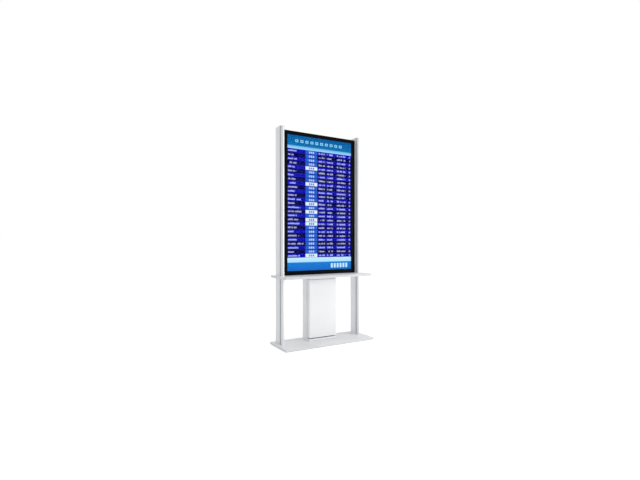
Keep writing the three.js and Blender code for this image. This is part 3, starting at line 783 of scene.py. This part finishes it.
def post_outline(inset):
    """A whole post seen from above: the tube with its nose in front."""
    half, back = POST_HALF - inset, POST_BACK - inset
    right = [(half, NOSE_BACK + inset)]
    for i in range(5):
        a = math.pi / 2 * i / 4
        right.append((half - POST_CORNER * (1 - math.cos(a)), back - POST_CORNER * (1 - math.sin(a))))
    return nose(NOSE_R - inset, NOSE_BACK + inset) + right + [(-u, v) for u, v in reversed(right)]


def post_tube(node):
    low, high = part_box(node)
    middle = ((low.x + high.x) / 2, (low.y + high.y) / 2)
    half_w, half_d = (high.x - low.x) / 2, (high.y - low.y) / 2
    edge = 0.3 * MM

    def ring(inset, level):
        outline = rounded_rect(half_w - inset, half_d - inset, POST_CORNER - inset)
        return placed(outline, "z", level, middle)

    bm = bmesh.new()
    loft(bm, [
        ring(edge, low.z), ring(0, low.z + edge), ring(0, high.z - edge), ring(edge, high.z),
        ring(POST_WALL, high.z), ring(POST_WALL, low.z),
    ], closed=True)
    stands_for(bm, node + "_fine", node)


def nose_cover(node):
    low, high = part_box(node)
    at = ((low.x + high.x) / 2, 0)
    shell = nose(NOSE_R, NOSE_BACK)
    hollow = nose(NOSE_R - POST_WALL, NOSE_BACK - POST_WALL)
    bm = bmesh.new()
    loft(bm, [
        placed(shell, "z", low.z, at), placed(shell, "z", high.z, at),
        placed(hollow, "z", high.z, at), placed(hollow, "z", low.z, at),
    ], closed=True)
    stands_for(bm, node + "_fine", node)


def post_cap(node, tube):
    """A plate over the whole post, with a plug that goes down into its tube."""
    low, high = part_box(node)
    bm = bmesh.new()
    slab(bm, post_outline, "z", high.z - CAP_PLATE, high.z, ((low.x + high.x) / 2, 0), 1.0 * MM, 4)
    plug = bmesh.new()
    low, high = millimetres(node)
    tube_low, tube_high = millimetres(tube)
    box_slab(plug, (low.x + 4, tube_low.y + 5, low.z), (high.x - 4, tube_high.y - 5, high.z - 3))
    merge(bm, plug)
    stands_for(bm, node + "_fine", node)


def build_posts():
    for side in ("left", "right"):
        post_tube(f"post_{side}")
        nose_cover(f"nose_cover_{side}")
        post_cap(f"post_cap_{side}", f"post_{side}")
        refined(f"post_seal_{side}", 0.8, 3)
        refined(f"post_foot_{side}", 0.5)
        for i in (1, 2):
            refined(f"post_bolt_{side}_{i}", 0.15, 1)


def build_shelf():
    bm = copied("shelf")
    bevel_edges(bm, box_edges(bm, "shelf"), 1.2 * MM, 4)
    bevel_edges(bm, sharp_edges(bm), 0.5 * MM, 2)
    stands_for(bm, "shelf_fine", "shelf")
    refined("cable_grommet", 0.5, 3)
    sheet = 3
    for side in ("left", "right"):
        node = f"shelf_bracket_{side}"
        refined(node, 0.6, 3)
        low, high = millimetres(node)
        x = (low.x + high.x) / 2
        on_post = [(x + dx, low.y + sheet, high.z - drop) for drop in (30.7, 14.7) for dx in (-9, 9)]
        fasteners(f"bracket_screws_{side}", "frame", "bare_steel", screw, on_post, (0, 1, 0))
        under = [(x + dx, high.y - 15, high.z - sheet) for dx in (-10, 10)]
        fasteners(f"shelf_screws_{side}", "frame", "bare_steel", screw, under, (0, 0, -1))


# ---------------------------------------------------------------- display


def build_touch_frame():
    low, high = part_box("touch_frame")
    half_w, half_h = (high.x - low.x) / 2, (high.z - low.z) / 2
    centre = (0, (low.z + high.z) / 2)
    glass_low, glass_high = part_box("touch_glass")
    inner = half_w - (glass_high.x - 10 * MM)  # the lip covers the glass by 10 mm
    rebate = half_w - (glass_high.x + 1 * MM)
    seat = glass_low.y - 0.3 * MM
    front, edge = low.y, 1.2 * MM
    profile = [(0, high.y)]
    for i in range(5):
        a = math.pi / 2 * i / 4
        profile.append((edge * (1 - math.cos(a)), front + edge * (1 - math.sin(a))))
    profile += [(inner - 0.8 * MM, front), (inner - 0.2 * MM, front + 0.25 * MM), (inner, front + 0.9 * MM)]
    profile += [(inner, seat), (rebate, seat), (rebate, high.y)]
    bm = bmesh.new()
    sweep_frame(bm, profile, half_w, half_h, 3 * MM, centre)
    bezel = moulded("bezel_plastic", rgb(7, 9, 13), 0.4, 2200, 0.2, 0.03, 0.05)
    stands_for(bm, "touch_frame_fine", "touch_frame", material=bezel)

    # The dark windows that the touch frame's light beams cross
    y0, y1 = front + 1.3 * MM, seat - 0.4 * MM
    root, face, slope = inner - 0.2 * MM, inner + 0.35 * MM, 0.2 * MM
    bm = bmesh.new()
    windows = [(root, y0), (face, y0 + slope), (face, y1 - slope), (root, y1)]
    sweep_frame(bm, windows, half_w, half_h, 3 * MM, centre)
    on_frame(bm, "infrared_windows", "black_plastic", material=window_material())


def build_rear_cover():
    refined("display_rear_cover", 0.4, 2, outer=1.5)
    low, high = millimetres("display_rear_cover")
    margin, back = 14, high.y - 0.1
    rows = [(x, back, z) for z in (low.z + margin, high.z - margin) for x in spread(-330, 330, 6)]
    heights = spread(low.z + 180, high.z - 180, 5)
    rows += [(x, back, z) for x in (low.x + margin, high.x - margin) for z in heights]
    fasteners("rear_cover_screws", "frame", "black_steel", screw, rows, (0, 1, 0), radius=3.6 * MM)


def build_hangers():
    sheet = 3.4
    for side in ("left", "right"):
        node = f"display_hanger_{side}"
        refined(node, 0.4, 2)
        low, high = millimetres(node)
        x = (low.x + high.x) / 2
        heights = (low.z + 27.5, low.z + 172.5, high.z - 177.5, high.z - 27.5)
        places = [(x + dx, low.y + sheet, z) for dx in (-9, 9) for z in heights]
        fasteners(f"hanger_screws_{side}", "frame", "bare_steel", screw, places, (0, 1, 0), radius=3 * MM)
    bolts = []
    for node in ("cross_rail_lower", "cross_rail_upper"):
        refined(node, 0.4, 2, outer=1.6)
        low, high = millimetres(node)
        bolts += [(x, high.y, (low.z + high.z) / 2) for x in (-352, -326, 326, 352)]
    fasteners("rail_bolts", "frame", "zinc_steel", hex_bolt, bolts, (0, 1, 0))


def build_display():
    build_touch_frame()
    for node in ("touch_glass", "lcd_panel", "backlight"):
        refined(node, 0.3, 2)
    refined("display_chassis", 0.4, 2)
    build_rear_cover()
    for node in ("main_board", "power_board", "touch_controller", "speaker_left", "speaker_right"):
        refined(node, 0.3, 1)
    build_hangers()


def window_material():
    """Dark red plastic that passes infrared light."""
    g = Graph("infrared_window")
    tone = g.noise(40, 3)
    colour = g.mix(tone, (0.006, 0.002, 0.003, 1.0), (0.012, 0.004, 0.006, 1.0))
    return g.surface(colour, g.ramp(tone, 0.3, 0.7, 0.12, 0.2), Specular_IOR_Level=0.4)


# ---------------------------------------------------------------- cabinet, door, hinge and lock


def build_cabinet():
    refined("cabinet_body", 0.5, 2, outer=2.0)
    refined("cabinet_plinth", 0.5, 2, outer=1.5)
    refined("cabinet_rear_panel", 0.25, 1, outer=0.6)
    low, high = millimetres("cabinet_rear_panel")
    heights = spread(low.z + 12, high.z - 12, 5)
    places = [(x, high.y, z) for x in (low.x + 7, high.x - 7) for z in heights]
    sizes = {"radius": 3.0 * MM, "height": 1.7 * MM}
    fasteners("rear_panel_screws", "frame", "bare_steel", screw, places, (0, 1, 0), **sizes)
    build_gasket()


def build_gasket():
    """A foam strip round the doorway, which the door closes on."""
    low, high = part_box("door_rim")
    half_w = (high.x - low.x) / 2
    half_h = (high.z - low.z) / 2
    front, back = high.y + 0.3 * MM, high.y + 3.58 * MM
    soft = 0.8 * MM
    outer, inner, slope = 3.5 * MM, 10 * MM, 1 * MM
    foam = [(outer, back), (outer, front + soft), (outer + slope, front), (inner - slope, front),
            (inner, front + soft), (inner, back)]
    bm = bmesh.new()
    sweep_frame(bm, foam, half_w - 2 * MM, half_h, 4 * MM, (0, (low.z + high.z) / 2))
    on_frame(bm, "door_gasket", "rubber")


def build_door():
    low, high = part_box("door_rim")
    front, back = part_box("door_skin")[0].y, high.y
    half_w, half_h = (high.x - low.x) / 2, (high.z - low.z) / 2
    centre = (0, (low.z + high.z) / 2)
    sheet, lip, fold, hem = 1.5 * MM, 12 * MM, 2.2 * MM, 1.2 * MM

    def ring(inset, y):
        radius = max(0.4 * MM, 0.9 * MM - inset)
        return placed(rounded_rect(half_w - inset, half_h - inset, radius), "y", y, centre)

    rings = [ring(fold + 4 * MM, front)]
    for i in range(6):
        a = math.pi / 2 * i / 5
        rings.append(ring(fold * (1 - math.sin(a)), front + fold * (1 - math.cos(a))))
    rings.append(ring(0, back - hem))
    for i in range(1, 4):
        a = math.pi / 2 * i / 3
        rings.append(ring(hem * (1 - math.cos(a)), back - hem * (1 - math.sin(a))))
    rings += [ring(lip - 0.3 * MM, back), ring(lip, back - 0.3 * MM), ring(lip, back - sheet)]
    rings += [ring(sheet + 0.5 * MM, back - sheet), ring(sheet, back - sheet - 0.5 * MM)]
    rings += [ring(sheet, front + sheet + 0.8 * MM), ring(sheet + 0.8 * MM, front + sheet)]
    bm = bmesh.new()
    loft(bm, rings)
    stands_for(bm, "cabinet_door", "door_rim", "door_skin")
    build_stiffener(low.z + 34 * MM, high.z - 34 * MM, front + sheet)


def build_stiffener(bottom, top, inside):
    """A folded hat section, bonded to the inside of the door's front."""
    hat = [(-34, 0), (-34, 1.2), (-21, 1.2), (-16, 10), (16, 10), (21, 1.2), (34, 1.2), (34, 0), (22, 0),
           (16.8, 8.8), (-16.8, 8.8), (-22, 0)]
    outline = [(u * MM, inside + v * MM) for u, v in hat]
    bm = bmesh.new()
    loft(bm, [placed(outline, "z", bottom), placed(outline, "z", top)])
    bevel_edges(bm, sharp_edges(bm, 20), 0.3 * MM, 2)
    finish_piece(bm, "door_stiffener", "door", "white_steel")


def build_hinge_and_lock():
    for node in ("hinge_leaf_cabinet", "hinge_leaf_door"):
        refined(node, 0.15, 1)
    refined("hinge_pin", 0.3, 2)
    refined("lock_body", 0.5, 3)
    refined("lock_plug", 0.25, 2)
    refined("lock_hook", 0.3, 2)
    refined("lock_stud", 0.4, 2)
    build_lock_nut()


def build_lock_nut():
    """The nut that holds the hook on the end of the lock's plug."""
    low, high = millimetres("lock_plug")
    end = Vector((low.x + 0.1, (low.y + high.y) / 2, (low.z + high.z) / 2)) * MM
    across, thick = 10 * MM, 2.4 * MM
    bm = bmesh.new()
    loft(bm, [placed(hex_points(across), "z", 0), placed(hex_points(across), "z", thick),
              placed(circle(across * 0.46, 24), "z", thick + 0.4 * MM)])
    oriented(bm, end, (-1, 0, 0))
    finish_piece(bm, "lock_nut", "lock", "bare_steel")


# ---------------------------------------------------------------- equipment


def player_lid(front, bottom):
    """The computer's plain top, with the well that its power button sinks into."""
    low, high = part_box("media_player")
    button_low, button_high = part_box("power_button")
    rim, chamfer, points = 0.8 * MM, 0.3 * MM, 36
    well = (button_high.x - button_low.x) / 2 + 0.3 * MM
    button_at = ((button_low.x + button_high.x) / 2, (button_low.y + button_high.y) / 2)
    centre = ((low.x + high.x) / 2, (front + high.y) / 2)
    half = ((high.x - low.x) / 2, (high.y - front) / 2)

    def edge_ring(inset, z):
        outline = rounded_rect(half[0] - inset, half[1] - inset, 2 * MM - inset, points // 4 - 1)
        return placed(outline, "z", z, centre)

    def well_ring(radius, z):
        return placed(circle(radius, points), "z", z, button_at)

    rings = [edge_ring(inset, bottom + rise) for inset, rise in rounding(rim)]
    rings += [edge_ring(inset, high.z - rise) for inset, rise in reversed(rounding(rim))]
    rings += [edge_ring(3 * rim, high.z), well_ring(well + chamfer, high.z)]
    rings += [well_ring(well, high.z - chamfer), well_ring(well, bottom)]
    return loft(bmesh.new(), rings, closed=True)


def build_player():
    """A fanless computer whose front is a row of cooling fins."""
    low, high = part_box("media_player")
    fins, depth, lid, corner = 30, 7 * MM, 6 * MM, 2 * MM
    fin_tip = 0.3 * MM
    pitch = (high.x - low.x) / fins
    root = low.y + depth
    fin = [(0.3, root), (0.36, low.y + fin_tip), (0.46, low.y)]
    fin += [(0.6, low.y), (0.7, low.y + fin_tip), (0.76, root)]
    outline = [(low.x, root)]
    for i in range(fins):
        outline += [(low.x + pitch * i + pitch * share, y) for share, y in fin]
    outline += [(high.x, root), (high.x, high.y - corner), (high.x - corner, high.y)]
    outline += [(low.x + corner, high.y), (low.x, high.y - corner)]
    bm = bmesh.new()
    loft(bm, [placed(outline, "z", low.z), placed(outline, "z", high.z - lid)])
    merge(bm, player_lid(root, high.z - lid))
    stands_for(bm, "media_player_fine", "media_player")

    # Sockets on its underside
    bm = bmesh.new()
    z, front, back = low.z / MM, 96, 104
    for x, half in ((-66, 8), (-42, 7), (-22, 7), (0, 8), (24, 5), (44, 4), (62, 4)):
        box_slab(bm, (x - half, front, z - 0.8), (x + half, back, z + 0.4), 0.2, 0.8)
    on_frame(bm, "player_sockets", "bare_steel")
    refined("power_button", 0.3, 3)


def build_power_supply():
    low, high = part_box("power_supply")
    half_w, half_h = (high.x - low.x) / 2, (high.z - low.z) / 2

    def brick(inset):
        return rounded_rect(half_w - inset, half_h - inset, 6 * MM - inset, 8)

    bm = bmesh.new()
    middle = ((low.x + high.x) / 2, (low.z + high.z) / 2)
    slab(bm, brick, "y", low.y, high.y, middle, 4 * MM, 6)
    stands_for(bm, "power_supply_fine", "power_supply")


def build_inlet():
    """The mains inlet with its pins and screws, and the switch beside it."""
    for node in ("mains_inlet", "switch_housing"):
        refined(node, 0.4, 2)
    refined("inlet_switch", 0.4, 3)
    low, high = millimetres("mains_inlet")
    mid_x, mid_z = (low.x + high.x) / 2, (low.z + high.z) / 2
    half_w, half_h = 1.0, 2.0
    root, tip = high.y - 16.2, high.y - 2.5
    bm = bmesh.new()
    for dx, dz in ((0, 2.4), (-7, -1.6), (7, -1.6)):
        x, z = mid_x + dx, mid_z + dz
        box_slab(bm, (x - half_w, root, z - half_h), (x + half_w, tip, z + half_h), 0.35, 0.4)
    on_frame(bm, "inlet_pins", "bare_steel")
    screws = [(mid_x + dx, high.y, mid_z) for dx in (-15.2, 15.2)]
    sizes = {"radius": 2.0 * MM, "height": 1.0 * MM}
    fasteners("inlet_screws", "frame", "bare_steel", screw, screws, (0, 1, 0), **sizes)


def build_equipment():
    refined("equipment_plate", 0.3, 1)
    build_player()
    build_power_supply()
    low, high = millimetres("equipment_plate")
    heights = spread(low.z + 12, high.z - 12, 3)
    places = [(x, low.y, z) for x in (low.x + 10, high.x - 10) for z in heights]
    fasteners("plate_screws", "frame", "bare_steel", screw, places, (0, -1, 0), radius=3 * MM)
    build_inlet()


# ---------------------------------------------------------------- fan


HUB_R = 15.5 * MM
TIP_R = 35.8 * MM


def blade_rings(turn, middle, axis_z, across=8, along=7):
    """Sections of one blade from the hub out. It narrows, flattens, thins and leans as it goes."""
    rings = []
    for j in range(along + 1):
        t = j / along
        r = HUB_R - 0.8 * MM + (TIP_R - HUB_R + 0.8 * MM) * t
        half_angle = math.radians(22 - 5 * t)
        pitch = math.radians(40 - 14 * t)
        lean = math.radians(9 * t * t)
        thick = (1.5 - 0.6 * t) * MM
        upper, lower = [], []
        for i in range(across + 1):
            s = i / across * 2 - 1
            a = turn + half_angle * s + lean
            curve = 0.9 * MM * (1 - s * s)
            y = middle + math.tan(pitch) * half_angle * s * HUB_R * 1.15 - curve
            half = thick / 2 * math.sqrt(max(0.05, 1 - s * s))
            point = Vector((r * math.sin(a), 0, axis_z + r * math.cos(a)))
            upper.append(point + Vector((0, y + half, 0)))
            lower.append(point + Vector((0, y - half, 0)))
        rings.append(upper + lower[::-1])
    return rings


def build_rotor(axis_z):
    """Seven blades on a hub."""
    low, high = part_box("fan_rotor")
    front, back = low.y, high.y
    bm = bmesh.new()
    hub = [(HUB_R - 2 * MM, front), (HUB_R - 0.6 * MM, front + 0.4 * MM), (HUB_R, front + 1.6 * MM),
           (HUB_R, back - 0.4 * MM), (HUB_R - 0.4 * MM, back)]
    turned(bm, hub, "y", (0, 0, axis_z), 48)
    blades = 7
    for k in range(blades):
        loft(bm, blade_rings(2 * math.pi * k / blades, (front + back) / 2 - 0.5 * MM, axis_z))
    stands_for(bm, "fan_rotor_fine", "fan_rotor")


def build_guard(axis_z):
    """Wire rings round a disc, on four spokes."""
    low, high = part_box("fan_guard")
    wire = (high.y - low.y) / 2
    y = (low.y + high.y) / 2
    bm = bmesh.new()
    for radius in (36, 30, 24, 18, 12):
        ring = [(radius * MM + u, y + v) for u, v in circle(wire, 10)]
        turned(bm, ring, "y", (0, 0, axis_z), 72, closed=True)
    rim, face, thin = 8 * MM, 7 * MM, wire * 0.8
    disc = [(face, y - thin), (rim, y - thin * 0.6), (rim, y + thin * 0.6), (face, y + thin)]
    turned(bm, disc, "y", (0, 0, axis_z), 40)
    for angle in (45, 135, 225, 315):
        a = math.radians(angle)
        spoke = bmesh.new()
        rod = [(wire * 0.7, 0), (wire, 0.4 * MM), (wire, 43 * MM), (wire * 0.7, 43.4 * MM)]
        turned(spoke, rod, "z", (0, 0, face), 12)
        oriented(spoke, Vector((0, y, axis_z)), Vector((math.sin(a), 0, math.cos(a))))
        merge(bm, spoke)
    stands_for(bm, "fan_guard_fine", "fan_guard")


def build_fan():
    refined("fan_frame", 0.5, 2)
    low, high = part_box("fan_rotor")
    axis_z = (low.z + high.z) / 2
    build_rotor(axis_z)
    build_guard(axis_z)
    corner = 35.8  # from the fan's axis to its screws, across and up
    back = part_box("cabinet_rear_panel")[1].y / MM
    spots = [(sx * corner, back, axis_z / MM + sz * corner) for sx in (-1, 1) for sz in (-1, 1)]
    fasteners("fan_screws", "frame", "black_steel", screw, spots, (0, 1, 0), radius=3.2 * MM)


def make_floor():
    bm = bmesh.new()
    bmesh.ops.create_grid(bm, x_segments=40, y_segments=40, size=FLOOR_HALF)
    mesh = bpy.data.meshes.new("floor")
    bm.to_mesh(mesh)
    bm.free()
    mesh.materials.append(floor_material())
    floor = bpy.data.objects.new("floor", mesh)
    bpy.context.scene.collection.objects.link(floor)


make_camera()
make_studio()
make_floor()
build_base()
build_posts()
build_shelf()
build_display()
build_cabinet()
build_door()
build_hinge_and_lock()
build_equipment()
build_fan()
